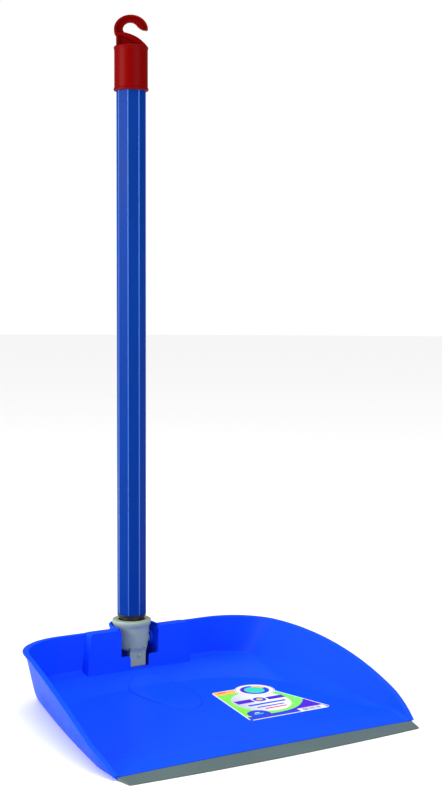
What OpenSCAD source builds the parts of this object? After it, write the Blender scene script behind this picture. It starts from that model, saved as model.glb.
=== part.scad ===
// Long-handled dust pan. A one-piece plastic pan with a soft front lip carries
// a swivel socket in a notch of its back wall. A coated steel tube screws into
// the socket and ends in a cap with a hanging hook.
// Millimetres, +Z up, floor at Z = 0, front lip towards -Y.
// The origin is the centre of the footprint on the floor.

/* [Pan] */
// Half width of the pan's foot near the rear corner
foot_half = 97.2; // [80:0.1:130]
// Largest half width of the foot, at the front
foot_half_front = 130.4; // [110:0.1:170]
// Distance from the handle's axis to the front edge of the pan at its ends
pan_reach = 225.5; // [180:0.5:280]
// Height of the rim along the back
rim_height = 48.6; // [40:0.5:70]
// Height of the rim's arc over the front edge
rim_end = 4.95; // [3:0.05:20]
// Height of the side rims at the pan's front corners
rim_nose = 2.4; // [1.5:0.1:8]
// Distance from the handle's axis to where the side rims start to fall
rim_level = 45; // [30:1:80]
// How far the side walls lean out per millimetre of height
wall_lean = 0.335; // [0.1:0.005:0.5]
// Thickness of the walls
wall = 2.3; // [1.6:0.1:4]
// Thickness of the floor
floor_t = 2.6; // [1.8:0.1:5]
// Width of the flange outside the rim
flange_w = 2; // [1:0.1:6]
// Thickness of the flange
flange_t = 2; // [1.2:0.1:4]
// Distance from the handle's axis to the outside of the back wall
back_gap = 7; // [4:0.1:12]

/* [Floor] */
// Height of the foot of the back wall, where the sloped border starts
border_height = 16; // [8:0.5:22]
// Distance from the handle's axis to the front of the sloped border
border_reach = 37.5; // [30:0.5:60]
// Height of the dirt ridge behind the lip
ridge_height = 5.2; // [3.5:0.1:10]
// Distance of the ridge's crest behind the front edge
ridge_back = 22.5; // [15:0.5:40]
// Length of the slope behind the ridge's crest
ridge_run = 34; // [20:0.5:50]

/* [Housing] */
// Half width of the thick middle of the back wall at its top
housing_half = 46.8; // [30:0.1:70]
// Half width of the thick middle at the foot of the wall
housing_half_low = 50.6; // [32:0.1:74]
// Distance from the handle's axis to the housing's front face
housing_face = 15.6; // [12:0.1:24]
// Room beside the collar in the notch
notch_clear = 1; // [0.5:0.1:4]
// Height of the bottom of the notch
notch_floor = 25; // [20:0.5:40]
// Half width of the slot under the notch
slot_half = 9.1; // [6:0.1:14]
// Height of the bottom of the slot
slot_floor = 15; // [10:0.5:24]
// Room behind the collar in the pocket
pocket_clear = 0.5; // [0.4:0.1:4]
// Wall thickness of the pocket
pocket_wall = 2.1; // [1.4:0.1:4]

/* [Front lip] */
// How far the lip's edge stands in front of the pan's edge
lip_front = 18.1; // [12:0.1:30]
// How far the lip's ends are drawn in at each side
lip_draw = 2.9; // [0:0.1:8]
// Radius of the lip's bowed front edge
lip_bow = 1935; // [800:5:4000]
// Radius of the pan's bowed front edge
pan_bow = 2825; // [800:5:5000]
// Height of the lip where it leaves the pan
lip_thick = 2.1; // [1.2:0.1:4]
// Thickness of the lip's tongue under the pan
lip_tongue_t = 1.2; // [0.8:0.1:2]
// Length of the lip's tongue under the pan
lip_tongue = 12; // [6:0.5:20]

/* [Socket] */
// Height of the swivel axis
swivel_z = 36; // [30:0.5:48]
// Radius of the socket's trunnions
trunnion_r = 4; // [2.5:0.1:6]
// Radial clearance of a trunnion in its bore
trunnion_gap = 0.06; // [0.02:0.01:0.1]
// How far the collar stands out from the socket's body
collar_out = 1.7; // [0.5:0.1:5]
// Height of the collar's top face
collar_top = 54.4; // [50:0.1:70]
// Wall of the socket round its threaded bore
cup_wall = 3.75; // [2:0.05:6]
// How much the socket's body narrows to its foot
body_taper = 1.4; // [0:0.1:3]
// Height of the body's foot
body_foot = 28.6; // [24:0.5:40]
// Distance from the handle's axis to the tongue's front face
tongue_face = 11.5; // [8:0.1:14]
// Half width of the tongue
tongue_half = 7.6; // [4:0.1:10]
// Thickness of the tongue
tongue_t = 2.4; // [1.5:0.1:4]
// Height of the tongue's lower end
tongue_foot = 14.8; // [10:0.1:24]

/* [Handle] */
// Wall of the sleeve, at its corners
sleeve_wall = 1.8; // [1.6:0.1:4]
// Gap between the collar and the sleeve
neck_gap = 4.6; // [3:0.1:20]
// Height of the cap's lower edge
cap_foot = 509.2; // [300:0.5:900]
// Outer radius of the steel tube
tube_r = 11; // [8:0.1:14]
// Wall thickness of the steel tube
tube_wall = 0.6; // [0.4:0.1:1.5]
// Crest radius of the screw thread
thread_r = 11.2; // [8:0.1:14]
// Pitch of the screw thread
thread_pitch = 3.4; // [2:0.1:6]
// Turn of the ridges about the handle's axis, in degrees
sleeve_turn = 5; // [-22.5:0.5:22.5]

/* [Cap] */
// Wall of the cap round the sleeve
cap_wall = 1.4; // [1:0.05:4]
// Height of the cap's barrel
cap_h = 37.4; // [20:0.1:60]
// Depth of the tube's seat in the cap
cap_seat = 32; // [15:0.5:50]
// Half width of the hook's outline
hook_rx = 14.4; // [10:0.1:20]
// Half height of the hook's outline
hook_rz = 12.2; // [8:0.1:20]
// Height of the hook's centre over the cap's lower edge
hook_z = 50.9; // [45:0.1:70]
// Half width of the hook's eye
eye_rx = 6.3; // [4:0.1:10]
// Half height of the hook's eye
eye_rz = 5.1; // [3:0.1:10]
// Thickness of the hook's rim
hook_t = 8.6; // [5:0.1:14]
// Thickness of the hook's web
hook_web = 4; // [2:0.1:8]
// Width of the hook's rim
hook_rim = 2; // [1:0.1:4]
// Turn of the hook about the handle's axis, in degrees
hook_turn = -28; // [-180:1:180]

/* [Label] */
// Distance from the pan's middle to the label's middle
label_x = 59; // [0:1:80]
// Gap between the label and the foot of the ridge
label_gap = 5.5; // [0:0.5:40]
// Length of the label
label_len = 82; // [50:1:110]
// Half width of the label at its front edge
label_half = 38.7; // [20:0.5:50]
// Thickness of the label
label_t = 0.2; // [0.1:0.05:0.5]

/* [Hidden] */
eps = 0.01;
rim_drop = rim_height - rim_end;
rim_arc = (pow(pan_reach - rim_level, 2) + pow(rim_drop, 2)) / (2 * rim_drop);
lip_reach = pan_reach + lip_front;
lip_half = foot_half_front - lip_draw;
ridge_reach = pan_reach - ridge_back;
ridge_foot = ridge_reach - ridge_run;
label_front = ridge_foot - label_gap;
thread_gap = 0.35;
cap_gap = 0.05;
bore_r = thread_r + thread_gap;
body_r = bore_r + cup_wall;
body_r_low = body_r - body_taper;
collar_r = body_r + collar_out;
notch_half = collar_r + notch_clear;
pocket_r = collar_r + pocket_clear;
sleeve_r = tube_r + sleeve_wall;
sleeve_foot = collar_top + neck_gap;
cap_r = sleeve_r + cap_gap + cap_wall;
pocket_top = rim_height + 1.6;
rebate_half = foot_half_front - 4.6;
thread_foot = swivel_z + 3;
pocket_back = pocket_r + pocket_wall;
nose_slope = 0.67;
axis_y = (lip_reach - pocket_back) / 2;
corner_angle = 12.5;
side_steps = 14;
corner_steps = 12;
foot_slope = 0.227;
foot_curve = 0.000238;
foot_start = 16.6;
lean_top = 60;
trunnion_end = notch_half + pocket_wall + 0.1;
border_drop = (border_height - floor_t) / (border_reach - back_gap - wall);

// Half width of the pan's foot at a distance behind or in front of the axis
function foot_x(y) =
    min(
        foot_half_front,
        foot_half + foot_slope * (-y - foot_start) - foot_curve * pow(-y - foot_start, 2)
    );

// Outline of the pan with its back line at y = back, corners of radius r and
// sides moved out by off; it is open to the front as far as y = front
function half_outline(back, r, off, front) =
    let (ye = back - r + r * sin(corner_angle), xe = foot_x(ye) + off)
    concat(
        [for (i = [0:side_steps]) let (y = front + (ye - front) * i / side_steps) [foot_x(y) + off, y]],
        [
            for (i = [1:corner_steps])
                let (a = corner_angle + (90 - corner_angle) * i / corner_steps)
                [xe + r * (cos(a) - cos(corner_angle)), back - r + r * sin(a)]
        ]
    );
function mirrored(p) = [for (i = [len(p) - 1:-1:0]) [-p[i][0], p[i][1]]];
function outline(back, r, off, front) =
    let (p = half_outline(back, r, off, front))
    concat(p, mirrored(p));

module slice(z, back, r, off, front) {
    translate([0, 0, z])
        linear_extrude(eps)
            polygon(outline(back, r, off, front));
}

// The pan's tapered outside, grown sideways by grow
module tub_outside(grow) {
    hull() {
        slice(0, -back_gap - 0.8 + grow, 13, -0.5 + grow, -pan_reach);
        slice(2, -back_gap + grow, 14, 0.7 + grow, -pan_reach);
        slice(lean_top, -back_gap + grow, 58, wall_lean * lean_top + grow, -pan_reach);
    }
}

// The space inside the walls, above the sloped border
module tub_inside() {
    hull() {
        slice(border_height, -back_gap - wall, 34, wall_lean * border_height - wall - 0.2, -pan_reach - 30);
        slice(lean_top, -back_gap - wall, 56, wall_lean * lean_top - wall - 0.2, -pan_reach - 30);
    }
}

// The space inside the sloped border, down to the floor
module border_inside() {
    hull() {
        slice(floor_t, -border_reach, 46, -7.5, -ridge_foot);
        slice(floor_t, -border_reach - 60, 20, -wall - 2.1, -pan_reach - 30);
        slice(border_height, -back_gap - wall, 34, wall_lean * border_height - wall - 0.2, -pan_reach - 30);
    }
}

// Everything under the rim's line, lowered by drop
module under_rim(drop) {
    translate([-200, -rim_level, -10])
        cube([400, rim_level + 60, rim_height - drop + 10]);
    intersection() {
        translate([-200, -rim_level, rim_height - rim_arc])
            rotate([0, 90, 0])
                cylinder(r = rim_arc - drop, h = 400, $fn = 360);
        along_x(200)
            polygon([
                [-rim_level + eps, -10],
                [-rim_level + eps, rim_height + 10],
                [-pan_reach + (rim_height + 10 - rim_nose) / nose_slope, rim_height + 10 - drop],
                [-pan_reach - 1, rim_nose - nose_slope - drop],
                [-pan_reach - 1, -10]
            ]);
    }
}

// A prism along X from a profile given as [y, z] points
module along_x(half) {
    rotate([90, 0, 90])
        translate([0, 0, -half])
            linear_extrude(2 * half)
                children();
}

// A round bar along X at the swivel axis
module swivel_bar(r, x0, x1) {
    translate([x0, 0, swivel_z])
        rotate([0, 90, 0])
            cylinder(r = r, h = x1 - x0, $fn = 64);
}

// Outside of the pocket, a half round behind a box
module pocket_outside() {
    half = notch_half + pocket_wall;
    intersection() {
        cylinder(r = pocket_r + pocket_wall, h = pocket_top, $fn = 96);
        translate([-half, -1, 0])
            cube([2 * half, pocket_back + 2, pocket_top]);
    }
    translate([-half, -housing_face + 1, 0])
        cube([2 * half, housing_face + 2, pocket_top]);
}

// The space the socket swings in, with a boss round each trunnion
module pocket_inside() {
    housing_back = housing_face - wall;
    difference() {
        union() {
            intersection() {
                translate([0, 0, floor_t])
                    cylinder(r = pocket_r, h = 100, $fn = 96);
                translate([-50, -housing_back, 0])
                    cube([100, 100, 100]);
            }
            translate([-notch_half, -housing_back, floor_t])
                cube([2 * notch_half, housing_back + 1.2, 100]);
        }
        for (x = [-notch_half - 1, body_r + 0.4])
            swivel_bar(trunnion_r + 2.5, x, x + notch_half + 0.6 - body_r);
    }
}

// Long low swelling of the floor in front of the joint
module floor_swelling() {
    hull() {
        translate([0, -46, floor_t - 1])
            cylinder(r = 24, h = 1.05, $fn = 48);
        translate([0, -104, floor_t - 1])
            cylinder(r = 9, h = 1.05, $fn = 48);
        translate([0, -37, floor_t - 1])
            cylinder(r = 11, h = 5.8, $fn = 48);
        translate([0, -90, floor_t - 1])
            cylinder(r = 3, h = 2.3, $fn = 48);
    }
}

module pan_body() {
    housing_back = housing_face - wall;
    color([0.04, 0.2, 0.95])
    translate([0, axis_y, 0])
    difference() {
        union() {
            difference() {
                union() {
                    intersection() {
                        tub_outside(0);
                        under_rim(0);
                    }
                    intersection() {
                        tub_outside(flange_w);
                        difference() {
                            under_rim(0);
                            under_rim(flange_t);
                        }
                    }
                }
                tub_inside();
                border_inside();
                // hollow under the sloped border
                along_x(foot_half - 15)
                    polygon([
                        [-border_reach + 2, -1],
                        [-back_gap - wall, -1],
                        [-back_gap - wall, (border_reach - back_gap - wall - 2) * border_drop - 1]
                    ]);
            }
            // thick middle of the back wall
            translate([0, -back_gap, 0])
                rotate([90, 0, 0])
                    linear_extrude(housing_face - back_gap)
                        polygon([
                            [-housing_half_low, border_height],
                            [housing_half_low, border_height],
                            [housing_half, rim_height],
                            [-housing_half, rim_height]
                        ]);
            // its foot, down to the sloped border
            along_x(housing_half_low)
                polygon([
                    [-housing_face, border_height + eps],
                    [-housing_face, border_height - (housing_face - back_gap - wall) * border_drop - 1],
                    [-back_gap, border_height - 5],
                    [-back_gap, border_height + eps]
                ]);
            pocket_outside();
            swivel_bar(trunnion_r + 2.5, -notch_half - pocket_wall, notch_half + pocket_wall);
            floor_swelling();
            // ridge behind the lip
            along_x(foot_half_front - 9.4)
                polygon([
                    [-ridge_foot + 8, floor_t - 1],
                    [-ridge_foot, floor_t],
                    [-ridge_reach - 2, ridge_height],
                    [-ridge_reach - 5, ridge_height - 0.1],
                    [-pan_reach - 2, floor_t + 0.1],
                    [-pan_reach - 2, floor_t - 1]
                ]);
        }
        // hollow behind the housing, open to the back
        for (side = [-1, 1])
            scale([side, 1, 1])
                rotate([90, 0, 0])
                    translate([0, 0, -5])
                        linear_extrude(housing_back + 5)
                            polygon([
                                [notch_half + pocket_wall, -1],
                                [housing_half_low - wall, -1],
                                [housing_half_low - wall, border_height],
                                [housing_half - wall, rim_height - flange_t - 0.4],
                                [notch_half + pocket_wall, rim_height - flange_t - 0.4]
                            ]);
        pocket_inside();
        swivel_bar(trunnion_r + trunnion_gap, -notch_half - 10, notch_half + 10);
        // notch in the housing's front, with a narrower slot below it
        translate([-notch_half, -housing_face - 5, notch_floor])
            cube([2 * notch_half, 10, 100]);
        translate([-slot_half, -housing_face - 5, slot_floor])
            cube([2 * slot_half, 10, 50]);
        // bowed front edge, with a rebate under it for the lip's tongue
        translate([0, -pan_reach - pan_bow + pow(foot_half_front, 2) / (2 * pan_bow), -1])
            cylinder(r = pan_bow, h = floor_t + 1.6, $fn = 720);
        translate([-rebate_half, -pan_reach - 10, -1])
            cube([2 * rebate_half, 10 + lip_tongue, 1 + lip_tongue_t]);
        // hollow under the ridge
        along_x(foot_half_front - 12)
            polygon([
                [-ridge_foot - 6, -1],
                [-ridge_foot - 6, 0.3],
                [-ridge_reach, ridge_height - floor_t],
                [-pan_reach + lip_tongue + 2, lip_tongue_t],
                [-pan_reach + lip_tongue + 2, -1]
            ]);
    }
}

module front_lip() {
    edge = pan_reach - pow(foot_half_front, 2) / (2 * pan_bow);
    color([0.32, 0.4, 0.4])
    translate([0, axis_y, 0])
    intersection() {
        union() {
            // tongue in the pan's rebate
            translate([-rebate_half, -pan_reach - 4, 0])
                cube([2 * rebate_half, lip_tongue + 4, lip_tongue_t]);
            // blade in front of the pan's edge
            difference() {
                along_x(foot_half_front)
                    polygon([
                        [-edge + 1, 0],
                        [-edge + 1, lip_thick],
                        [-pan_reach - 1, lip_thick],
                        [-lip_reach - 0.5, 0.7],
                        [-lip_reach - 0.5, 0]
                    ]);
                translate([0, pan_bow - edge, lip_tongue_t])
                    difference() {
                        translate([-200, -pan_bow - 10, 0])
                            cube([400, 40, 5]);
                        translate([0, -2 * pan_bow, -1])
                            cylinder(r = pan_bow, h = 8, $fn = 720);
                    }
            }
        }
        translate([0, lip_bow - lip_reach, -1])
            cylinder(r = lip_bow, h = 10, $fn = 720);
        // ends drawn in towards the front corners
        translate([0, 0, -1])
            linear_extrude(10)
                polygon([
                    [-rebate_half, 0],
                    [-rebate_half, -pan_reach],
                    [-foot_half_front + 0.1, -pan_reach],
                    [-lip_half, -lip_reach + 4],
                    [-lip_half + 4, -lip_reach - 1],
                    [lip_half - 4, -lip_reach - 1],
                    [lip_half, -lip_reach + 4],
                    [foot_half_front - 0.1, -pan_reach],
                    [rebate_half, -pan_reach],
                    [rebate_half, 0]
                ]);
    }
}

module swivel_socket() {
    color([0.5, 0.58, 0.57])
    translate([0, axis_y, 0])
    difference() {
        union() {
            rotate_extrude($fn = 96)
                polygon([
                    [0, body_foot],
                    [body_r_low - 1.2, body_foot],
                    [body_r_low, body_foot + 2.2],
                    [body_r, collar_top - 8],
                    [collar_r, collar_top - 1.6],
                    [collar_r, collar_top - 0.8],
                    [collar_r - 0.6, collar_top],
                    [0, collar_top]
                ]);
            // tongue and its thick root
            translate([-tongue_half, -tongue_face, tongue_foot])
                cube([2 * tongue_half, tongue_t, body_foot - tongue_foot + 4]);
            translate([-tongue_half, -tongue_face, body_foot - 8])
                cube([2 * tongue_half, tongue_face - 4, 10]);
            swivel_bar(trunnion_r, -trunnion_end, trunnion_end);
            // dome on the tongue
            translate([0, -tongue_face, body_foot - 4])
                scale([1, 0.45, 1])
                    sphere(r = 2.4, $fn = 32);
        }
        // threaded bore
        translate([0, 0, thread_foot])
            cylinder(r = bore_r, h = 60, $fn = 96);
        translate([0, 0, collar_top - 0.8])
            cylinder(r1 = bore_r, r2 = bore_r + 1.2, h = 1.2, $fn = 96);
    }
}

module thread_ferrule() {
    turns = floor((sleeve_foot - 1.6 - thread_foot) / thread_pitch);
    root = thread_r - 1.1;
    color([0.04, 0.04, 0.04])
    translate([0, axis_y, 0])
    difference() {
        rotate_extrude($fn = 96)
            polygon(concat(
                [[0, thread_foot], [root, thread_foot]],
                [
                    for (i = [0:turns - 1], k = [0:3])
                        let (z = thread_foot + 0.8 + i * thread_pitch)
                        [[root, z], [thread_r, z + 0.9], [thread_r, z + 1.5], [root, z + 2.4]][k]
                ],
                [
                    [root, sleeve_foot - 1.4],
                    [sleeve_r - 0.7, sleeve_foot - 1.4],
                    [sleeve_r - 0.7, sleeve_foot],
                    [tube_r - tube_wall, sleeve_foot],
                    [tube_r - tube_wall, sleeve_foot + 22],
                    [tube_r - tube_wall - 1, sleeve_foot + 24],
                    [0, sleeve_foot + 24]
                ]
            ));
        translate([0, 0, thread_foot + 3])
            cylinder(r = tube_r - 4, h = 100, $fn = 64);
    }
}

module handle_tube() {
    color([0.7, 0.71, 0.73])
    translate([0, axis_y, sleeve_foot])
    difference() {
        cylinder(r = tube_r, h = cap_foot + cap_seat - sleeve_foot, $fn = 96);
        translate([0, 0, -1])
            cylinder(r = tube_r - tube_wall, h = 1000, $fn = 96);
    }
}

module tube_sleeve() {
    color([0.0, 0.18, 0.6])
    translate([0, axis_y, sleeve_foot])
    difference() {
        rotate([0, 0, sleeve_turn])
            cylinder(r = sleeve_r, h = cap_foot + cap_seat - sleeve_foot, $fn = 8);
        translate([0, 0, -1])
            cylinder(r = tube_r, h = 1000, $fn = 96);
    }
}

// Points of an ellipse in the hook's plane, from angle a0 to a1
function ellipse(cx, cz, rx, rz, a0, a1, n) =
    [for (i = [0:n]) let (a = a0 + (a1 - a0) * i / n) [cx + rx * cos(a), cz + rz * sin(a)]];

// Outline of the hook and its fin, in the plane of the hook
module hook_outline() {
    difference() {
        union() {
            polygon(ellipse(0, hook_z, hook_rx, hook_rz, 0, 360 - 360 / 64, 63));
            polygon([
                [-hook_rx + 1.4, cap_h - 1],
                [hook_rx - 0.6, cap_h - 1],
                [hook_rx - 0.6, cap_h],
                [hook_rx - 7.6, cap_h + 5.9],
                [-1, cap_h + 9.3],
                [-hook_rx + 1.4, hook_z]
            ]);
        }
        polygon(ellipse(-0.5, hook_z, eye_rx, eye_rz, 0, 360 - 360 / 48, 47));
        // mouth of the hook, above the fin's slope
        polygon([
            [-5.6, hook_z - 2.2],
            [-3.5, hook_z - 4.1],
            [-1, cap_h + 9.3],
            [hook_rx - 7.6, cap_h + 5.9],
            [hook_rx - 0.6, cap_h],
            [hook_rx + 4, cap_h - 3],
            [hook_rx + 4, hook_z - 1.6],
            [9.2, hook_z - 1.6],
            [5.8, hook_z + 0.4],
            [3.9, hook_z + 2.6],
            [0, hook_z + 2.6]
        ]);
    }
}

module hanging_cap() {
    color([0.75, 0.02, 0.02])
    translate([0, axis_y, cap_foot])
    rotate([0, 0, hook_turn])
    union() {
        difference() {
            rotate_extrude($fn = 96)
                polygon([
                    [0, 0],
                    [cap_r + 0.2, 0],
                    [cap_r + 0.6, 0.7],
                    [cap_r + 0.6, 2],
                    [cap_r, 2.8],
                    [cap_r, cap_h - 3],
                    [cap_r + 0.4, cap_h - 2.2],
                    [cap_r + 0.4, cap_h - 0.8],
                    [cap_r - 0.6, cap_h],
                    [0, cap_h]
                ]);
            translate([0, 0, -1])
                cylinder(r = sleeve_r + cap_gap, h = cap_seat + 1, $fn = 96);
        }
        translate([0, hook_web / 2, 0])
            rotate([90, 0, 0])
                linear_extrude(hook_web)
                    hook_outline();
        translate([0, hook_t / 2, 0])
            rotate([90, 0, 0])
                linear_extrude(hook_t)
                    difference() {
                        hook_outline();
                        offset(delta = -hook_rim)
                            hook_outline();
                    }
    }
}

module product_label() {
    rear_left = 0.677 * label_half;
    rear_right = 0.514 * label_half;
    color([0.9, 0.95, 0.9])
    translate([label_x, axis_y - label_front, floor_t])
    linear_extrude(label_t)
    union() {
        polygon([
            [-label_half + 3, 0],
            [label_half - 3, 0],
            [label_half, 3],
            [rear_right + 0.6, label_len - 2],
            [rear_right - 1.4, label_len],
            [-rear_left + 1.4, label_len],
            [-rear_left - 0.6, label_len - 2],
            [-label_half, 3]
        ]);
        // round badge over the rear edge
        translate([0.266 * label_half, label_len - 10.4])
            circle(r = 17.2, $fn = 96);
    }
}

pan_body();
front_lip();
product_label();
swivel_socket();
thread_ferrule();
handle_tube();
tube_sleeve();
hanging_cap();
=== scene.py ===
# Long-handled dust pan: a moulded blue pan with a soft front lip, and an upright
# handle whose socket swings in a pocket of the back wall.
import math

import bmesh
import bpy
from mathutils import Matrix, Vector


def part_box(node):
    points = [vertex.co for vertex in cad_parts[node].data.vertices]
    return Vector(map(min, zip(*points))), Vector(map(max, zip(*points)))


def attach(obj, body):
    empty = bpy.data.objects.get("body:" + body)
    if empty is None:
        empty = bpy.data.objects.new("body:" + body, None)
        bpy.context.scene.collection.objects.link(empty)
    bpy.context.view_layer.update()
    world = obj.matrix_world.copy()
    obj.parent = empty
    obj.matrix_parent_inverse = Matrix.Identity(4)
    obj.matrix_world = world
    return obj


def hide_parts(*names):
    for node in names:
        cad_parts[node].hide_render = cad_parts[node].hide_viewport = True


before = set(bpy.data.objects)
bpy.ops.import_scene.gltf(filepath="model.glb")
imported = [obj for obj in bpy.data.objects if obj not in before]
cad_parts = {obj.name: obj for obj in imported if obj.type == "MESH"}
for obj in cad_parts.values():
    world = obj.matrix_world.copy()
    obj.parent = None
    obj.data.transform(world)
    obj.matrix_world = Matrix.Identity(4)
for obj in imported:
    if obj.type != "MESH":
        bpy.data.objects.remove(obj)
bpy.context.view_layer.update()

# ---------------------------------------------------------------- camera
# Stands in front and to the left, a little above the pan, on a long lens.
tube_low, tube_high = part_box("handle_tube")
AXIS_Y = (tube_low.y + tube_high.y) / 2      # the handle's axis stands at x = 0
VIEW_TURN = math.radians(31.273)
VIEW_DIP = math.radians(4.522)
VIEW_ROLL = math.radians(0.214)
camera = bpy.data.objects.new("camera", bpy.data.cameras.new("camera"))
bpy.context.scene.collection.objects.link(camera)
bpy.context.scene.camera = camera
camera.data.sensor_width = 36
camera.data.lens = 65.1
camera.data.clip_start, camera.data.clip_end = 0.05, 60
camera.location = (-0.5808, AXIS_Y - 1.1054, 0.3447)
aim = Matrix.Rotation(-VIEW_TURN, 3, "Z") @ Matrix.Rotation(math.pi / 2 - VIEW_DIP, 3, "X")
camera.rotation_euler = (aim @ Matrix.Rotation(VIEW_ROLL, 3, "Z")).to_euler()

# ---------------------------------------------------------------- pan tray
# Injection-moulded pan: a flat floor with a dirt ridge in front, a sloped
# border, and walls that lean out to a thin flange and fall along an arc.
MM = 0.001
FRONT = -225.5                 # front edge, measured from the handle's axis
LEAN = 0.3345                  # how far the walls lean out per mm of height
WALL = 2.5
SIDE_STEPS, CORNER_STEPS = 26, 18
CORNER_TURN = math.radians(12.5)
HOUSING_CUT = 46.6
FRONT_HALF = 130.4             # half the width of the front edge
FRONT_BOW = 2825               # radius of the front edge, seen from above
RIM_TOP = 48.6                 # height of the rim at the back
RIM_ARC = 395                  # radius that the rim falls along, seen from the side
ARC_START = -45                # where the rim begins to fall
SHARP_ANGLE = 35               # degrees between faces past which an edge is shown sharp


def foot_half(y):
    """Half width of the pan's foot at y."""
    reach = -y - 16.6
    return min(FRONT_HALF, 97.2 + 0.227 * reach - 0.000238 * reach * reach)


def between(y, *points):
    """Height at y on a line through (y, z) points that are listed front to back."""
    for (y0, z0), (y1, z1) in zip(points, points[1:]):
        if y <= y1:
            return z0 + (z1 - z0) * max(0, y - y0) / (y1 - y0)
    return points[-1][1]


def floor_line(y):
    """Height of the floor's top, with the dirt ridge near the front."""
    return between(y, (FRONT, 2.3), (-208, 5.1), (-203, 5.2), (-169, 2.6), (-37, 2.6))


def rim_line(y):
    """Height of the walls' rim."""
    height = RIM_TOP
    if y <= ARC_START:
        height = RIM_TOP - RIM_ARC + math.sqrt(RIM_ARC**2 - (ARC_START - y) ** 2)
    return min(height, 3.2 + 0.66 * (y - FRONT))


def border_line(y):
    """Height where the sloped border meets the walls."""
    border = between(y, (FRONT, 2.6), (-200, 4.4), (-172, 6.2), (-129, 11.5), (-93, 16),
                     (-60, 16.8), (-9, 16))
    return min(max(border, floor_line(y) + 1.2), floor_line(y) + 0.6 * (rim_line(y) - floor_line(y)))


def level(back, radius, height, spread):
    """One line round the pan, from its right front corner to its left one."""
    turn_y = back - radius + radius * math.sin(CORNER_TURN)
    half = []
    for i in range(SIDE_STEPS + 1):
        y = FRONT + (turn_y - FRONT) * i / SIDE_STEPS
        half.append(Vector((foot_half(y) + spread(height(y)), y, height(y))))
    side = half[-1].x
    for i in range(1, CORNER_STEPS + 1):
        a = CORNER_TURN + (math.pi / 2 - CORNER_TURN) * i / CORNER_STEPS
        y = back - radius + radius * math.sin(a)
        half.append(Vector((side + radius * (math.cos(a) - math.cos(CORNER_TURN)), y, height(y))))
    half.append(Vector((30, back, height(back))))
    return half + [Vector((-p.x, p.y, p.z)) for p in reversed(half)]


def soften(points, radii, steps=4):
    """Rounds the corners of a line of points, each by its own radius."""
    out = [points[0]]
    for a, p, b, r in zip(points, points[1:], points[2:], radii):
        into, away = p - a, b - p
        start = p - into.normalized() * min(r, 0.45 * into.length)
        end = p + away.normalized() * min(r, 0.45 * away.length)
        for k in range(steps + 1):
            t = k / steps
            out.append(start * (1 - t) ** 2 + p * 2 * t * (1 - t) + end * t * t)
    return out + [points[-1]]


def new_verts(made):
    """The vertices among what an extrude has made."""
    return [g for g in made["geom"] if isinstance(g, bmesh.types.BMVert)]


def partners(row, made):
    """The vertex among those just made that each vertex of a row was extruded to."""
    made = set(made)
    return [next(e.other_vert(v) for e in v.link_edges if e.other_vert(v) in made) for v in row]


def carry(bm, row):
    """Extrudes a row of vertices once and gives the new row in the same order."""
    edges = [bm.edges.get((a, b)) for a, b in zip(row, row[1:])]
    return partners(row, new_verts(bmesh.ops.extrude_edge_only(bm, edges=edges)))


def chain(bm, points):
    """A row of vertices joined by edges."""
    row = [bm.verts.new(p) for p in points]
    for a, b in zip(row, row[1:]):
        bm.edges.new((a, b))
    return row


def piece(bm, name, crease=SHARP_ANGLE):
    """Turns a mesh drawn in mm round the handle's axis into an object."""
    bmesh.ops.scale(bm, vec=(MM, MM, MM), verts=bm.verts)
    bmesh.ops.translate(bm, vec=(0, AXIS_Y, 0), verts=bm.verts)
    mesh = bpy.data.meshes.new(name)
    bm.to_mesh(mesh)
    bm.free()
    mesh.shade_smooth()
    mesh.set_sharp_from_angle(angle=math.radians(crease))
    made = bpy.data.objects.new(name, mesh)
    bpy.context.scene.collection.objects.link(made)
    return made


def combine(base, other, operation):
    """Joins other to base, or cuts it away, and keeps only the result."""
    step = base.modifiers.new("combine", "BOOLEAN")
    step.operation, step.object, step.solver = operation, other, "EXACT"
    bpy.context.view_layer.update()
    seen_as = base.evaluated_get(bpy.context.evaluated_depsgraph_get())
    done = bpy.data.meshes.new_from_object(seen_as)
    base.modifiers.clear()
    spent = (base.data, other.data)
    base.data = done
    bpy.data.objects.remove(other)
    for mesh in spent:
        bpy.data.meshes.remove(mesh)
    done.name = base.name
    done.set_sharp_from_angle(angle=math.radians(SHARP_ANGLE))
    return base


def block(x0, x1, y0, y1, z0, z1):
    """A box between two corners, as a new mesh."""
    bm = bmesh.new()
    bmesh.ops.create_cube(bm, size=1)
    bmesh.ops.scale(bm, vec=(x1 - x0, y1 - y0, z1 - z0), verts=bm.verts)
    bmesh.ops.translate(bm, vec=((x0 + x1) / 2, (y0 + y1) / 2, (z0 + z1) / 2), verts=bm.verts)
    return bm


lines = [
    level(-45, 72, floor_line, lambda z: -12),
    level(-37.5, 75, floor_line, lambda z: -4.5),
    level(-9.3, 34, border_line, lambda z: LEAN * z - WALL),
    level(-9.3, 50.5, rim_line, lambda z: LEAN * z - WALL),
    level(-5, 50, rim_line, lambda z: LEAN * z + 2),
    level(-5, 49, lambda y: rim_line(y) - min(1.9, 0.3 * rim_line(y)), lambda z: LEAN * z + 2.2),
    level(-7, 48, lambda y: rim_line(y) - min(1.9, 0.3 * rim_line(y)), lambda z: LEAN * z),
    level(-6.9, 21, lambda y: min(9, 0.55 * rim_line(y)), lambda z: LEAN * z + 0.9),
    level(-7.1, 15, lambda y: min(2, 0.3 * rim_line(y)), lambda z: 0.7),
    level(-8.2, 13, lambda y: 0, lambda z: -0.6),
    level(-12, 12, lambda y: 0, lambda z: -4),
]
roundings = [1.6, 2.2, 0.8, 1.0, 0.5, 0.6, 5, 1.6, 0.8]
bm = bmesh.new()
profiles = [soften([line[i] for line in lines], roundings) for i in range(len(lines[0]))]
rows = [chain(bm, profiles[0])]
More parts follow.
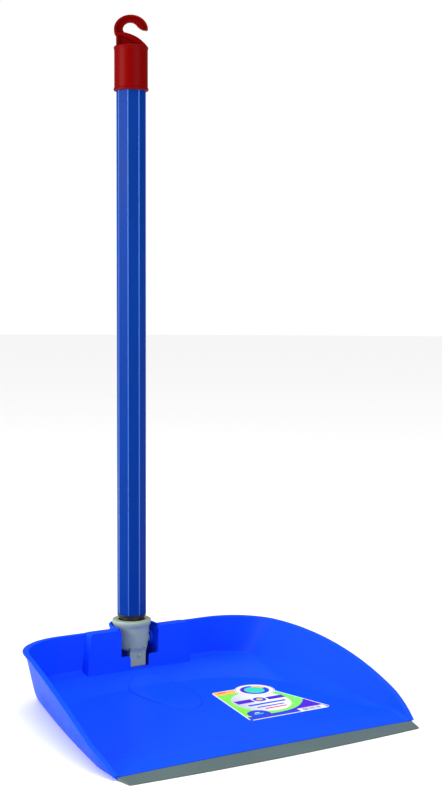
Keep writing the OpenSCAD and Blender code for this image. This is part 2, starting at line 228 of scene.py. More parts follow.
for profile in profiles[1:]:
    rows.append(carry(bm, rows[-1]))
    for v, p in zip(rows[-1], profile):
        v.co = p
front_edges = [bm.edges.new((rows[0][k], rows[-1][k])) for k in (0, -1)]
for k, front in ((0, front_edges[0]), (-1, front_edges[1])):
    ring = [bm.edges.get((a[k], b[k])) for a, b in zip(rows, rows[1:])]
    bmesh.ops.contextual_create(bm, geom=ring + [front])
ends = [bm.edges.get((a, b)) for row in (rows[0], rows[-1]) for a, b in zip(row, row[1:])]
bmesh.ops.contextual_create(bm, geom=ends + front_edges)
cut_planes = [((0, y, 0), (0, 1, 0)) for y in (-216, -208, -203, -186, -169)]
cut_planes += [((x, 0, 0), (1, 0, 0)) for x in range(-125, 126, 25)]
for point, direction in cut_planes:
    bmesh.ops.bisect_plane(bm, geom=bm.verts[:] + bm.edges[:] + bm.faces[:], plane_co=point,
                           plane_no=direction)
for v in bm.verts:
    if v.co.y < FRONT + 0.01 and abs(v.co.x) < FRONT_HALF:
        v.co.y += (FRONT_HALF**2 - v.co.x**2) / (2 * FRONT_BOW)
bmesh.ops.triangulate(bm, faces=bm.faces[:])
bmesh.ops.recalc_face_normals(bm, faces=bm.faces)
tray = piece(bm, "pan_tray")
combine(tray, piece(block(-HOUSING_CUT, HOUSING_CUT, -14.4, 5, -1, 60), "cutter"), "DIFFERENCE")

# Fine moulding texture: a faint grain, slow flow shading and light rubbing, as
# numbers and colours for any plastic part.
texture = bpy.data.node_groups.new("moulded surface", "ShaderNodeTree")
for socket, kind, value in (
        ("Colour", "NodeSocketColor", (0.5, 0.5, 0.5, 1)), ("Shading", "NodeSocketFloat", 0.1),
        ("Roughness", "NodeSocketFloat", 0.4), ("Rubbing", "NodeSocketFloat", 0.1),
        ("Grain Scale", "NodeSocketFloat", 900), ("Flow Scale", "NodeSocketFloat", 14)):
    texture.interface.new_socket(socket, in_out="INPUT", socket_type=kind).default_value = value
for socket, kind in (("Colour", "NodeSocketColor"), ("Roughness", "NodeSocketFloat"),
                     ("Height", "NodeSocketFloat")):
    texture.interface.new_socket(socket, in_out="OUTPUT", socket_type=kind)


def node(tree, kind, values=(), **settings):
    """Adds a node, with its settings, and its inputs as values or as sockets."""
    made = tree.nodes.new(kind)
    for key, value in settings.items():
        setattr(made, key, value)
    for key, value in dict(values).items():
        if isinstance(value, bpy.types.NodeSocket):
            tree.links.new(value, made.inputs[key])
        else:
            made.inputs[key].default_value = value
    return made


def ramp(tree, value, low, high, to_low=0.0, to_high=1.0):
    """Value, from low..high to to_low..to_high, held at both ends."""
    return node(tree, "ShaderNodeMapRange", {0: value, 1: low, 2: high, 3: to_low, 4: to_high}).outputs[0]


def maths(tree, operation, a, b=0.0):
    """The sum, product or the like of two numbers."""
    return node(tree, "ShaderNodeMath", {0: a, 1: b}, operation=operation).outputs[0]


def mix(tree, share, a, b):
    """Colour a where share is 0 and colour b where it is 1."""
    return node(tree, "ShaderNodeMix", {0: share, 6: a, 7: b}, data_type="RGBA").outputs[2]


inside = node(texture, "NodeGroupInput").outputs
place = node(texture, "ShaderNodeTexCoord").outputs["Object"]


def noise(tree, place, scale, detail):
    """Soft noise from 0 to 1 at a place."""
    values = {"Vector": place, "Scale": scale, "Detail": detail}
    return node(tree, "ShaderNodeTexNoise", values).outputs[0]


grain = noise(texture, place, inside["Grain Scale"], 3.0)
flow = ramp(texture, noise(texture, place, inside["Flow Scale"], 4.0), 0.3, 0.7, -0.5, 0.5)
long_way = node(texture, "ShaderNodeMapping", {"Vector": place, "Rotation": (0.2, 0.1, 0.5),
                                               "Scale": (9, 1, 3)})
rubs = ramp(texture, noise(texture, long_way.outputs[0], 60.0, 6.0), 0.55, 0.75)
brightness = maths(texture, "ADD", maths(texture, "MULTIPLY", flow, inside["Shading"]), 1.0)
tone = node(texture, "ShaderNodeHueSaturation", {"Value": brightness, "Color": inside["Colour"]})
wear = maths(texture, "MULTIPLY", maths(texture, "ADD", rubs, flow), inside["Rubbing"])
gloss = maths(texture, "ADD", inside["Roughness"], wear)
node(texture, "NodeGroupOutput", {"Colour": tone.outputs[0], "Roughness": gloss, "Height": grain})


def plastic(name, colour, roughness=0.4, rubbing=0.1, shading=0.1, grain=900, relief=0.06, **constants):
    """A moulded plastic or rubber: colour is linear red, green, blue."""
    material = bpy.data.materials.new(name)
    material.use_nodes = True
    tree = material.node_tree
    shader = tree.nodes["Principled BSDF"]
    for socket, value in constants.items():
        shader.inputs[socket.replace("_", " ").title().replace("Ior", "IOR")].default_value = value
    group = node(tree, "ShaderNodeGroup", node_tree=texture)
    for socket, value in (("Colour", (*colour, 1)), ("Shading", shading), ("Roughness", roughness),
                          ("Rubbing", rubbing), ("Grain Scale", grain)):
        group.inputs[socket].default_value = value
    bump = node(tree, "ShaderNodeBump", {"Strength": relief, "Distance": 0.0002,
                                         "Height": group.outputs["Height"]})
    tree.links.new(group.outputs["Colour"], shader.inputs["Base Color"])
    tree.links.new(group.outputs["Roughness"], shader.inputs["Roughness"])
    tree.links.new(bump.outputs[0], shader.inputs["Normal"])
    return material


def finish(made, material, body, slot, *nodes):
    """Gives a piece its material and its body, and hides the CAD nodes it stands for; slot is not used.
    """
    made.data.materials.clear()
    made.data.materials.append(material)
    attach(made, body)
    if nodes:
        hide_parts(*nodes)
    return made


def round_edges(made, width, segments=3, angle=40):
    """Fillets on the sharp edges of a piece, with flat faces kept flat."""
    fillet = made.modifiers.new("fillets", "BEVEL")
    fillet.width, fillet.segments, fillet.limit_method = width * MM, segments, "ANGLE"
    fillet.angle_limit, fillet.use_clamp_overlap = math.radians(angle), True
    flat = made.modifiers.new("flat faces", "WEIGHTED_NORMAL")
    flat.keep_sharp = True
    return made


blue = plastic("pan blue", (0.004, 0.066, 0.88), roughness=0.42, rubbing=0.08, shading=0.06, relief=0.04,
               specular_ior_level=0.05)
tray.modifiers.new("flat faces", "WEIGHTED_NORMAL").keep_sharp = True
finish(tray, blue, "pan", "pan_plastic", "pan_body")

# ---------------------------------------------------------------- housing
# The thick middle of the back wall, moulded with the pan: a front plate with a
# notch and slot for the socket, a ledge on top and a return at each side.
bm = bmesh.new()
half_face = [(50.6, 9), (46.8, 48.9), (18, 48.9), (18, 25), (9.1, 25), (9.1, 15)]
corner_rounds = [2.4, 3.6, 1.0, 2.6, 0.8]
face = [Vector((x, -15.6, z)) for x, z in half_face]
face += [Vector((-p.x, p.y, p.z)) for p in reversed(face)]
row = chain(bm, soften(face, corner_rounds + corner_rounds[::-1]))
closing = bm.edges.new((row[-1], row[0]))
LEDGE_END = 11                 # points from the foot to the end of the notch's corner
RETURN_X = 46                  # the side returns lie outside this, and slant outwards
RETURN_SLANT = 3.4
for part_row in (row[:LEDGE_END], row[-LEDGE_END:]):
    for v in carry(bm, part_row):
        v.co.y = -5.0 if v.co.z > 30 else -8.6
        if abs(v.co.x) > RETURN_X:
            v.co.x += math.copysign(RETURN_SLANT, v.co.x)
outline = [bm.edges.get((a, b)) for a, b in zip(row, row[1:])] + [closing]
plate = bmesh.ops.contextual_create(bm, geom=outline)
bmesh.ops.triangulate(bm, faces=plate["faces"])
bmesh.ops.recalc_face_normals(bm, faces=bm.faces)
if sum(f.normal.y for f in bm.faces) > 0:
    bmesh.ops.reverse_faces(bm, faces=bm.faces)
housing = piece(bm, "pan_housing")
thick = housing.modifiers.new("wall", "SOLIDIFY")
thick.thickness, thick.offset, thick.use_even_offset = 2.3 * MM, -1, True
round_edges(housing, 0.9)
finish(housing, blue, "pan", "pan_plastic")

# ---------------------------------------------------------------- socket pocket
# Half-round pocket behind the notch, with a bored boss in each cheek that the
# socket's trunnions turn in.
SWING_Z = 36.0                 # height of the axis that the handle swings about
TRUNNION = 4.0                 # radius of the socket's trunnions
BORE_PLAY = 0.06
POCKET_R, POCKET_DEPTH = 18, 17.5


def pocket_wall(name, z0, z1, wall, floor):
    """A half-round wall from z0 to z1, with its thickness outside and maybe a floor."""
    bm = bmesh.new()
    row = chain(bm, [(-POCKET_R, -13.5, z0), (-POCKET_R, 0, z0)])
    last = bmesh.ops.spin(bm, geom=[row[-1]], cent=(0, 0, 0), axis=(0, 0, 1), angle=-math.pi,
                          steps=32)["geom_last"][0]
    bmesh.ops.scale(bm, vec=(1, POCKET_DEPTH / POCKET_R, 1), verts=bm.verts)
    corner = bm.verts.new((POCKET_R, row[0].co.y, z0))
    bm.edges.new((last, corner))
    sides = bm.edges[:]
    if floor:
        bm.edges.new((corner, row[0]))
        bmesh.ops.contextual_create(bm, geom=bm.edges[:])
    raised = new_verts(bmesh.ops.extrude_edge_only(bm, edges=sides))
    bmesh.ops.translate(bm, vec=(0, 0, z1 - z0), verts=raised)
    bmesh.ops.recalc_face_normals(bm, faces=bm.faces)
    if sum(f.normal.xy.dot(f.calc_center_median().xy) for f in bm.faces) < 0:
        bmesh.ops.reverse_faces(bm, faces=bm.faces)
    made = piece(bm, name)
    thick = made.modifiers.new("wall", "SOLIDIFY")
    thick.thickness, thick.offset, thick.use_even_offset = wall * MM, 1, True
    return made


pocket = pocket_wall("pan_pocket", 1.4, 50.0, 1.4, True)
pocket_rim = pocket_wall("pan_pocket_rim", 47.9, 50.2, 2.1, False)
round_edges(pocket_rim, 0.7)
finish(pocket_rim, blue, "pan", "pan_plastic")


def bar(radius, x0, x1, z=SWING_Z, segments=64):
    """A round bar along X at the swing axis, as a new mesh."""
    bm = bmesh.new()
    turn = Matrix.Translation(((x0 + x1) / 2, 0, z)) @ Matrix.Rotation(math.pi / 2, 4, "Y")
    bmesh.ops.create_cone(bm, cap_ends=True, segments=segments, radius1=radius, radius2=radius,
                          depth=x1 - x0, matrix=turn)
    return bm


for side in (-1, 1):
    x0, x1 = sorted((side * 15.7, side * 19))
    combine(pocket, piece(bar(6.5, x0, x1), "boss"), "UNION")
combine(pocket, piece(bar(TRUNNION + BORE_PLAY, -30, 30), "bore"), "DIFFERENCE")
round_edges(pocket, 0.5, 2)
finish(pocket, blue, "pan", "pan_plastic")

# ---------------------------------------------------------------- floor swelling
# Long low swelling pressed into the floor in front of the joint; it stiffens
# the floor where the handle's load comes in and runs up the sloped border.
bm = bmesh.new()
bmesh.ops.create_uvsphere(bm, u_segments=64, v_segments=24, radius=1)
SWELL_Y, SWELL_FRONT, SWELL_BACK, SWELL_HALF, SWELL_RISE = -46, 64, 24, 24, 1.8
BORDER_FOOT = -38.5            # where the sloped border starts behind the floor
for v in bm.verts:
    flattened = math.copysign(abs(v.co.z) ** 0.5, v.co.z)
    y = v.co.y * (SWELL_FRONT if v.co.y < 0 else SWELL_BACK) + SWELL_Y
    slope = max(0.0, y - BORDER_FOOT) * 0.475
    v.co = (v.co.x * SWELL_HALF, y, floor_line(y) + slope + SWELL_RISE * flattened)
swelling = piece(bm, "pan_swelling")
finish(swelling, blue, "pan", "pan_plastic")

# ---------------------------------------------------------------- front lip
# Soft rubber-like blade pushed onto the pan's front edge: thick at its root,
# thin and slightly bowed at the edge that meets the floor.
LIP_STEPS = 32
BLADE = 17.6                   # from the pan's edge to the blade's own
BLADE_EDGE, BLADE_BOW = -243.5, 1935
BLADE_HALF, BLADE_DRAW = 130.2, 2.7
section = [(0.6, 0.02), (0.6, 1.0), (0.0, 1.6), (-0.9, 2.15), (-2.4, 2.15), (-9.5, 1.55),
           (-16.6, 1.0), (-17.4, 0.75), (-BLADE, 0.4), (-17.4, 0.02)]
bm = bmesh.new()
rows = [chain(bm, [(0, y, z) for y, z in section])]
bm.edges.new((rows[0][-1], rows[0][0]))
for i in range(LIP_STEPS):
    edges = [e for e in bm.edges if all(v in rows[-1] for v in e.verts)]
    rows.append(partners(rows[-1], new_verts(bmesh.ops.extrude_edge_only(bm, edges=edges))))
for i, row in enumerate(rows):
    for v, (y, z) in zip(row, section):
        out = min(1, max(0, -y / BLADE))
        x = (BLADE_HALF - BLADE_DRAW * out) * (2 * i / LIP_STEPS - 1)
        root = FRONT + (FRONT_HALF**2 - min(x * x, FRONT_HALF**2)) / (2 * FRONT_BOW)
        edge = BLADE_EDGE + x * x / (2 * BLADE_BOW)
        v.co = (x, root + (edge - root) * out if y < 0 else root + y, z)
bmesh.ops.contextual_create(bm, geom=rows[0])
bmesh.ops.contextual_create(bm, geom=rows[-1])
bmesh.ops.recalc_face_normals(bm, faces=bm.faces)
lip = piece(bm, "front_blade", 30)
lip.modifiers.new("flat faces", "WEIGHTED_NORMAL").keep_sharp = True
grey_rubber = plastic("lip rubber", (0.078, 0.12, 0.118), roughness=0.6, rubbing=0.1, shading=0.16,
                      grain=1400, relief=0.12, specular_ior_level=0.35)
finish(lip, grey_rubber, "pan", "lip_rubber", "front_lip")

# ---------------------------------------------------------------- socket
# Grey swivel socket: a thick cup with a flared collar and a threaded bore, two
# trunnions, and a flat tongue below that hangs in the housing's slot.
def turn_round(profile, steps, closed=False):
    """A new mesh: (radius, height) points spun right round the handle's axis."""
    bm = bmesh.new()
    row = chain(bm, [(r, 0, z) for r, z in profile])
    if closed:
        bm.edges.new((row[-1], row[0]))
    bmesh.ops.spin(bm, geom=bm.edges[:] + bm.verts[:], cent=(0, 0, 0), axis=(0, 0, 1),
                   angle=2 * math.pi, steps=steps, use_merge=True)
    bmesh.ops.remove_doubles(bm, verts=bm.verts, dist=0.001)
    if closed:
        bmesh.ops.dissolve_degenerate(bm, dist=0.001, edges=bm.edges)
    bmesh.ops.recalc_face_normals(bm, faces=bm.faces)
    return bm


cup_profile = [
    (0.0, 39), (11.3, 39), (11.3, 53.4), (11.5, 54.0), (12.1, 54.4), (16.0, 54.4), (16.6, 54.2),
    (17, 53.6), (17.0, 52.2), (16.8, 50.9), (16.2, 49.6), (15.6, 48.6), (15.3, 47.6), (15.25, 46.4),
    (14.6, 39), (13.9, 31.4), (13.7, 30.2), (13.2, 29.2), (12.4, 28.6), (0.0, 28.6)]
socket = piece(turn_round(cup_profile, 96), "swivel_cup", 40)
bm = bmesh.new()
TONGUE_HALF = 7.6
TONGUE_TAPER = 0.004           # how much wider the tongue is per mm of height
tongue_side = [(-13.7, 31.6), (-4, 31.6), (-4, 27.5), (-5.2, 25.0), (-9.0, 21.6), (-9.1, 14.8),
               (-11.5, 14.8), (-11.5, 26.6), (-12.2, 28.4)]
row = chain(bm, [(-TONGUE_HALF, y, z) for y, z in tongue_side])
bm.edges.new((row[-1], row[0]))
bmesh.ops.contextual_create(bm, geom=bm.edges[:])
far_side = new_verts(bmesh.ops.extrude_face_region(bm, geom=bm.faces[:]))
bmesh.ops.translate(bm, vec=(2 * TONGUE_HALF, 0, 0), verts=far_side)
for v in bm.verts:
    v.co.x *= 1 + TONGUE_TAPER * (v.co.z - 20)
bmesh.ops.recalc_face_normals(bm, faces=bm.faces)
tongue = piece(bm, "tongue")
combine(socket, tongue, "UNION")
combine(socket, piece(bar(TRUNNION, -20.2, 20.2), "trunnions"), "UNION")
combine(socket, piece(block(-8, 8, -9, 9, 39, 45), "well"), "DIFFERENCE")
bm = bmesh.new()
bmesh.ops.create_uvsphere(bm, u_segments=24, v_segments=12, radius=2.5)
bmesh.ops.scale(bm, vec=(1, 0.4, 1), verts=bm.verts)
bmesh.ops.translate(bm, vec=(1.6, -11.3, 23.6), verts=bm.verts)
combine(socket, piece(bm, "detent"), "UNION")
round_edges(socket, 0.35, 2, 50)
grey_plastic = plastic("socket grey", (0.3, 0.38, 0.28), roughness=0.42, rubbing=0.1,
                       shading=0.08, relief=0.05)
finish(socket, grey_plastic, "handle", "socket_plastic", "swivel_socket")

# ---------------------------------------------------------------- ferrule
# Black screw ferrule: a plug with a coarse thread that is pressed into the
# tube's lower end and screws into the socket.
PITCH = 3.4
TURNS = 4
TURN_STEPS = 48
plug = [(0.0, 39.5), (9.9, 39.5), (10.1, 56.6), (12.2, 57.2), (12.5, 57.6), (12.5, 59.3), (0, 59.3)]
ferrule = piece(turn_round(plug, 72), "screw_ferrule", 40)
bm = bmesh.new()
thread = chain(bm, [(9.7, 0, 40.2), (11.1, 0, 41.1), (11.1, 0, 41.7), (9.7, 0, 42.6)])
bm.edges.new((thread[-1], thread[0]))
bmesh.ops.contextual_create(bm, geom=bm.edges[:])
bmesh.ops.spin(bm, geom=bm.faces[:] + bm.edges[:] + bm.verts[:], cent=(0, 0, 0), axis=(0, 0, 1),
               dvec=(0, 0, PITCH / TURN_STEPS), angle=2 * math.pi * TURNS,
               steps=TURN_STEPS * TURNS)
bmesh.ops.recalc_face_normals(bm, faces=bm.faces)
thread_turns = piece(bm, "ferrule_thread", 40)
black = plastic("ferrule black", (0.006, 0.006, 0.006), roughness=0.38, rubbing=0.1, shading=0.1)
finish(ferrule, black, "handle", "ferrule_plastic", "thread_ferrule")
finish(thread_turns, black, "handle", "ferrule_plastic")

# ---------------------------------------------------------------- handle tube
# Thin drawn-steel tube that makes the handle stiff. The ferrule is pressed into
# its foot, and the sleeve and the cap cover it.
steel = bpy.data.materials.new("tube steel")
steel.use_nodes = True
tree = steel.node_tree
shader = tree.nodes["Principled BSDF"]
shader.inputs["Metallic"].default_value = 1
place = node(tree, "ShaderNodeTexCoord").outputs["Object"]
drawn = node(tree, "ShaderNodeMapping", {"Vector": place, "Scale": (60, 60, 1.5)}).outputs[0]
draw_lines = noise(tree, drawn, 20.0, 5.0)
steel_colour = mix(tree, draw_lines, (0.5, 0.51, 0.53, 1), (0.68, 0.69, 0.7, 1))
tree.links.new(steel_colour, shader.inputs["Base Color"])
tree.links.new(ramp(tree, draw_lines, 0.3, 0.7, 0.25, 0.5), shader.inputs["Roughness"])
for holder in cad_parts["handle_tube"].material_slots:
    holder.material = steel

# ---------------------------------------------------------------- sleeve
# Blue plastic skin drawn over the tube: eight flat flutes, with a small round
# rib where two flutes meet.
SLEEVE_FOOT = 59.0
SLEEVE_SIDES = 8
SLEEVE_TURN = 5                # degrees that the first rib is turned from the side
RIB_ROUND = 0.55
top_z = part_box("tube_sleeve")[1].z / MM
foot = Matrix.Translation((0, 0, SLEEVE_FOOT))
bm = bmesh.new()
bmesh.ops.create_circle(bm, cap_ends=False, segments=SLEEVE_SIDES, radius=12.7,
                        matrix=foot @ Matrix.Rotation(math.radians(SLEEVE_TURN), 4, "Z"))
bmesh.ops.create_circle(bm, cap_ends=False, segments=64, radius=11.05, matrix=foot)
bmesh.ops.bridge_loops(bm, edges=bm.edges[:])
walls = [e for e in bm.edges if len(e.link_faces) == 1]
up = new_verts(bmesh.ops.extrude_edge_only(bm, edges=walls))
bmesh.ops.translate(bm, vec=(0, 0, top_z - SLEEVE_FOOT), verts=up)
bmesh.ops.bridge_loops(bm, edges=[e for e in bm.edges if len(e.link_faces) == 1])
bmesh.ops.recalc_face_normals(bm, faces=bm.faces)
upright = [e for e in bm.edges if abs(e.verts[0].co.z - e.verts[1].co.z) > 100]
corners = [e for e in upright if e.verts[0].co.xy.length > 12]
bmesh.ops.bevel(bm, geom=corners, offset=RIB_ROUND, segments=4, affect="EDGES", profile=0.5, material=-1)
sleeve = piece(bm, "handle_sleeve", 25)
round_edges(sleeve, 0.15, 2, 60)
navy = plastic("sleeve blue", (0.0, 0.03, 0.23), roughness=0.35, rubbing=0.08, shading=0.1, relief=0.03,
               specular_ior_level=0.04)
finish(sleeve, navy, "handle", "sleeve_plastic", "tube_sleeve")
RIB_R, RIB_OUT = 0.5, 12.35
bm = bmesh.new()
for k in range(SLEEVE_SIDES):
    a = math.radians(SLEEVE_TURN + 360 / SLEEVE_SIDES * k)
    middle = (RIB_OUT * math.cos(a), RIB_OUT * math.sin(a), (top_z + SLEEVE_FOOT) / 2)
    bmesh.ops.create_cone(bm, cap_ends=True, segments=10, radius1=RIB_R, radius2=RIB_R,
                          depth=top_z - SLEEVE_FOOT - 1, matrix=Matrix.Translation(middle))
rib_lines = piece(bm, "handle_ribs", 60)
# The ribs get a lighter blue than the sleeve: a painted highlight along each edge where two flutes meet.
rib_highlight_blue = plastic("rib painted highlight blue", (0.005, 0.11, 0.45), roughness=0.28, rubbing=0.06, shading=0.08,
                   relief=0.03)
finish(rib_lines, rib_highlight_blue, "handle", "sleeve_plastic")

# ---------------------------------------------------------------- hanging cap
# Red end cap pushed over the sleeve, with a bead round each end, and a flat
# hook with a raised rim that stands on it.
CAP_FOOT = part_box("hanging_cap")[0].z / MM
HOOK_TURN = math.radians(-28)
barrel = [(12.9, 32.0), (12.9, 0.3), (13.2, 0), (14.3, 0), (14.75, 0.35), (14.85, 1.0), (14.85, 1.6),
          (14.6, 2.4), (14.25, 3.0), (14.25, 33.6), (14.35, 34.4), (14.65, 35.0), (14.65, 36.2),
          (14.3, 37.0), (13.7, 37.4), (0, 37.4), (0, 32.0)]
cap = piece(turn_round([(r, CAP_FOOT + z) for r, z in barrel], 96, closed=True), "hanging_cap_barrel")
HOOK_Z = CAP_FOOT + 50.9       # height of the hook's centre


def hook_plate(points, thickness, name):
    """A flat plate in the hook's plane, from its outline in mm across and up."""
    bm = bmesh.new()
    row = chain(bm, [(x, -thickness / 2, HOOK_Z + z) for x, z in points])
    bm.edges.new((row[-1], row[0]))
    bmesh.ops.contextual_create(bm, geom=bm.edges[:])
    back = new_verts(bmesh.ops.extrude_face_region(bm, geom=bm.faces[:]))
    bmesh.ops.translate(bm, vec=(0, thickness, 0), verts=back)
    bmesh.ops.recalc_face_normals(bm, faces=bm.faces)
    bmesh.ops.rotate(bm, cent=(0, 0, 0), matrix=Matrix.Rotation(HOOK_TURN, 3, "Z"), verts=bm.verts)
    return piece(bm, name)


def arc(cx, cz, rx, rz, a0, a1, steps):
    """Points along an oval arc, from angle a0 to a1 in degrees."""
    angles = [math.radians(a0 + (a1 - a0) * i / steps) for i in range(steps + 1)]
    return [(cx + rx * math.cos(a), cz + rz * math.sin(a)) for a in angles]


def fin(x):
    """Height of the fin's curved top above the hook's centre, below it as it falls."""
    t = x + 5.9
    return -2.3 - 0.25 * t - 0.0009 * t**3


OUTER_X, OUTER_Z = 14.4, 12.2  # half width and half height of the hook
HOOK_RIM = 2.0
CAP_TOP = -14.4                # inside the top of the barrel, from the hook's centre
ring = arc(0, 0, OUTER_X, OUTER_Z, 3, 196, 44)
fin_top = [(x, fin(x)) for x in (13.7, 12.5, 11, 9, 7, 5, 2.5, 0, -2.3, -4.3)]
mouth = [(5.6, 2.9), (7.6, 1.2), (9.8, 0.1), (11.2, -0.2), (13.2, -0.2)]
web = hook_plate(ring + [(-12.6, -4.9), (-12.6, CAP_TOP), (13.7, CAP_TOP - 0.3)] + fin_top
                 + arc(-0.5, 0.9, 6.3, 5.4, 215, 40, 24) + mouth, 4, "hook_web")
bridge = [(-12.6, -4.9), (-8, -5.3), (-4.3, -6.6), (1.6, -9.7), (6.9, -12.4), (10.2, CAP_TOP - 0.3),
          (13.7, CAP_TOP - 0.3)]
inside_rim = arc(0, 0, OUTER_X - HOOK_RIM, OUTER_Z - HOOK_RIM, 192, 4, 40)
rim = hook_plate(ring + bridge + fin_top + [(-6.2, -2.3), (-9.5, -2.6), (-11.4, -2.6)]
                 + inside_rim + [(13.2, -0.2)], 8.6, "hook_rim")
neck = hook_plate([(-12.6, -4.0), (-12.6, CAP_TOP), (-10.6, CAP_TOP), (-10.6, -4.0)], 7.4, "hook_neck")
combine(rim, web, "UNION")
combine(rim, neck, "UNION")
combine(cap, rim, "UNION")
round_edges(cap, 0.3, 2, 50)
red = plastic("cap red", (0.165, 0.0, 0.0), roughness=0.42, rubbing=0.06, shading=0.08, relief=0.03,
              specular_ior_level=0.04)
finish(cap, red, "handle", "cap_plastic", "hanging_cap")

# ---------------------------------------------------------------- label
# Printed film with a thin adhesive back, die-cut to a tapered shape with a round
# badge and stuck on the floor: plain fields of colour and bars, no lettering.
label_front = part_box("product_label")[0].y / MM
film = bpy.data.materials.new("label film")
film.use_nodes = True
tree = film.node_tree
place = node(tree, "ShaderNodeTexCoord").outputs["Object"]
LABEL_X = 59.0                 # middle of the label's front edge, in mm
LABEL_HALF = 38.2              # half the printed width at the front edge
LABEL_LENGTH = 81.5
BORDER = 1.1
LEFT_SLANT, RIGHT_SLANT = 0.152, 0.229   # how far the sides draw in per mm
in_mm = node(tree, "ShaderNodeMapping", {"Vector": place, "Location": (-LABEL_X, -label_front, 0),
                                         "Scale": (1 / MM, 1 / MM, 1 / MM)})
split = node(tree, "ShaderNodeSeparateXYZ", {0: in_mm.outputs[0]}).outputs
across, along = split[0], split[1]


def both(*masks):
    """1 where every mask is 1."""
    out = masks[0]
    for other in masks[1:]:
        out = maths(tree, "MULTIPLY", out, other)
    return out


def below(value, limit, soft=0.12):
    """1 where value is under a limit."""
    return ramp(tree, value, limit - soft, limit + soft, 1, 0)


def above(value, limit, soft=0.12):
    """1 where value is over a limit."""
    return ramp(tree, value, limit - soft, limit + soft)


def oval(cx, cy, rx, ry, soft=0.03):
    """1 inside an oval of the label, in mm across and from its front edge."""
    dx = maths(tree, "DIVIDE", maths(tree, "SUBTRACT", across, cx), rx)
    dy = maths(tree, "DIVIDE", maths(tree, "SUBTRACT", along, cy), ry)
    squares = maths(tree, "ADD", maths(tree, "POWER", dx, 2), maths(tree, "POWER", dy, 2))
    return below(squares, 1, soft)


def patch(x0, x1, y0, y1):
    """1 inside a rectangle of the label."""
    return both(above(across, x0), below(across, x1), above(along, y0), below(along, y1))


WHITE = (0.9, 0.9, 0.9, 1)
GREY = (0.55, 0.57, 0.6, 1)
LIME = (0.2, 0.8, 0.0, 1)
YELLOW = (0.95, 0.52, 0.0, 1)
ORANGE = (0.9, 0.13, 0.0, 1)
RED = (0.75, 0.01, 0.02, 1)
MINT = (0.04, 0.65, 0.35, 1)
PURPLE = (0.07, 0.0, 0.5, 1)
ROYAL = (0.0, 0.045, 0.6, 1)
LILAC = (0.45, 0.3, 0.75, 1)
BLACK = (0.03, 0.03, 0.03, 1)
left_edge = maths(tree, "ADD", across, maths(tree, "MULTIPLY", along, -LEFT_SLANT))
right_edge = maths(tree, "ADD", across, maths(tree, "MULTIPLY", along, RIGHT_SLANT))
printed = both(above(left_edge, -LABEL_HALF), below(right_edge, LABEL_HALF),
               above(along, BORDER), below(along, LABEL_LENGTH))
dots = node(tree, "ShaderNodeTexVoronoi", {"Vector": place, "Scale": 220.0}).outputs["Distance"]
print_colour = mix(tree, below(dots, 0.13, 0.02), LIME, WHITE)
sweep = maths(tree, "MAXIMUM", maths(tree, "DIVIDE", maths(tree, "ADD", across, 9), 41.5), 0.0)
sweep = maths(tree, "MULTIPLY", maths(tree, "POWER", sweep, 2.6), -23.5)
sweep = maths(tree, "ADD", along, sweep)
shaded_white = mix(tree, ramp(tree, across, -24, 6), GREY, WHITE)
layers = [
    (oval(-3, 41, 24, 27.5), shaded_white),
    (below(sweep, 8.5), PURPLE),
    (below(along, 6.6), ROYAL),
    (both(above(along, 71.5), below(across, -3)), YELLOW),
    (patch(-22.5, -14.5, 76.8, 79.6), ORANGE),
    (patch(-24, -8, 42.2, 50.8), PURPLE),
    (patch(6, 22, 42.0, 49.4), PURPLE),
    (oval(-1, 46.6, 5.6, 5.6), ROYAL),
    (oval(-1, 46.6, 2.8, 2.8), YELLOW),
    (patch(-19, 17, 33.2, 36.6), ROYAL),
    (patch(-15, 11, 26.4, 28.8), ROYAL),
    (patch(-11, 10, 20.8, 23.2), RED),
    (oval(-23.2, 12.4, 9.8, 9.8), PURPLE),
    (oval(-23.2, 12.4, 8.4, 8.4), ROYAL),
    (patch(-27.5, -19, 11.6, 13.4), MINT),
    (patch(-25.5, -21, 15, 16.4), WHITE),
    (patch(10.4, 35.4, 0.6, 8.4), WHITE)]
for mask, colour in layers:
    print_colour = mix(tree, mask, print_colour, colour)
bars = node(tree, "ShaderNodeTexNoise", {"W": across, "Scale": 1.3, "Detail": 0.0},
            noise_dimensions="1D").outputs[0]
barred = both(above(bars, 0.5, 0.01), patch(12.6, 31.7, 1.6, 7.4))
print_colour = mix(tree, barred, print_colour, BLACK)
print_colour = mix(tree, printed, WHITE, print_colour)
BADGE_X, BADGE_Y = 10.5, 72.2
badge = [(17.3, WHITE), (16.7, LILAC), (15.9, WHITE), (12.8, LILAC), (12.2, ROYAL)]
for radius, colour in badge:
    print_colour = mix(tree, oval(BADGE_X, BADGE_Y, radius, radius, 0.02), print_colour, colour)
core = oval(BADGE_X, BADGE_Y, 12.2, 12.2, 0.02)
print_colour = mix(tree, both(core, below(across, 7)), print_colour, PURPLE)
print_colour = mix(tree, both(core, oval(18.5, 79.5, 6.5, 5.5)), print_colour, YELLOW)
print_colour = mix(tree, oval(10.2, 72, 8.6, 9.2), print_colour, MINT)
speckle = noise(tree, place, 700.0, 2.0)
print_colour = mix(tree, ramp(tree, speckle, 0.3, 0.7, 0, 0.06), print_colour, GREY)
shader = tree.nodes["Principled BSDF"]
tree.links.new(print_colour, shader.inputs["Base Color"])
shader.inputs["Specular IOR Level"].default_value = 0.15
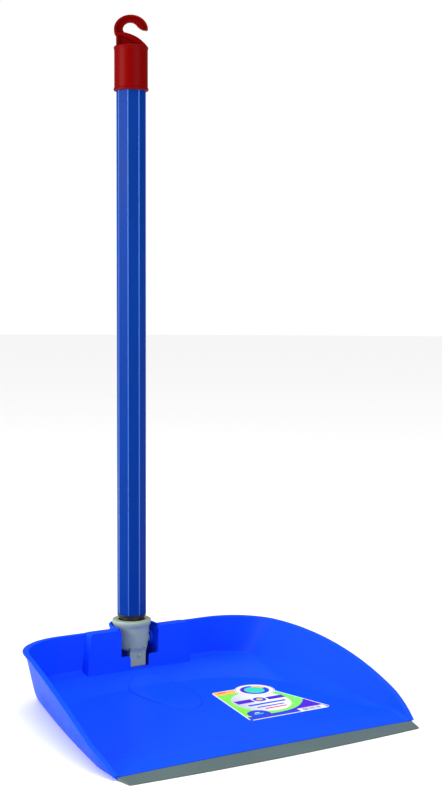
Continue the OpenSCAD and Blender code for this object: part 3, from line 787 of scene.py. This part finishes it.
tree.links.new(ramp(tree, speckle, 0.3, 0.7, 0.28, 0.42), shader.inputs["Roughness"])
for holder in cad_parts["product_label"].material_slots:
    holder.material = film

# ---------------------------------------------------------------- studio
# Plain pale floor that runs into a pale surround, a broad even light straight
# overhead, a soft key from the left and a weaker fill from the front.
bm = bmesh.new()
bmesh.ops.create_circle(bm, cap_ends=True, segments=96, radius=9)
floor_mesh = bpy.data.meshes.new("studio_floor")
bm.to_mesh(floor_mesh)
bm.free()
studio_floor = bpy.data.objects.new("studio_floor", floor_mesh)
bpy.context.scene.collection.objects.link(studio_floor)
studio_floor.location.z = -0.0004
paper = bpy.data.materials.new("pale floor")
paper.use_nodes = True
shader = paper.node_tree.nodes["Principled BSDF"]
shader.inputs["Base Color"].default_value = (0.93, 0.93, 0.93, 1)
shader.inputs["Roughness"].default_value = 0.9
floor_mesh.materials.append(paper)
world = bpy.data.worlds.new("studio")
bpy.context.scene.world = world
world.use_nodes = True
backdrop = world.node_tree.nodes["Background"]
backdrop.inputs["Color"].default_value = (1, 1, 1, 1)
seen = node(world.node_tree, "ShaderNodeLightPath").outputs["Is Camera Ray"]
AMBIENT = 0.2                  # light from all round; the camera sees plain white
strength = ramp(world.node_tree, seen, 0, 1, AMBIENT, 1.0)
world.node_tree.links.new(strength, backdrop.inputs["Strength"])
bpy.context.scene.view_settings.view_transform = "Standard"


def softbox(name, place, target, size, power):
    """A square soft light at place that faces target."""
    light = bpy.data.lights.new(name, "AREA")
    light.shape, light.size, light.energy = "SQUARE", size, power
    made = bpy.data.objects.new(name, light)
    made.location = place
    made.rotation_euler = (Vector(target) - Vector(place)).to_track_quat("-Z", "Y").to_euler()
    bpy.context.scene.collection.objects.link(made)


softbox("key", (-1.85, 0.2, 0.75), (0, 0, 0.25), 0.9, 38)
softbox("fill", (0.5, -2.0, 0.7), (0, 0, 0.1), 1.2, 21)
sky = bpy.data.lights.new("overhead", "SUN")
sky.energy, sky.angle = 2.6, math.radians(60)
bpy.context.scene.collection.objects.link(bpy.data.objects.new("overhead", sky))
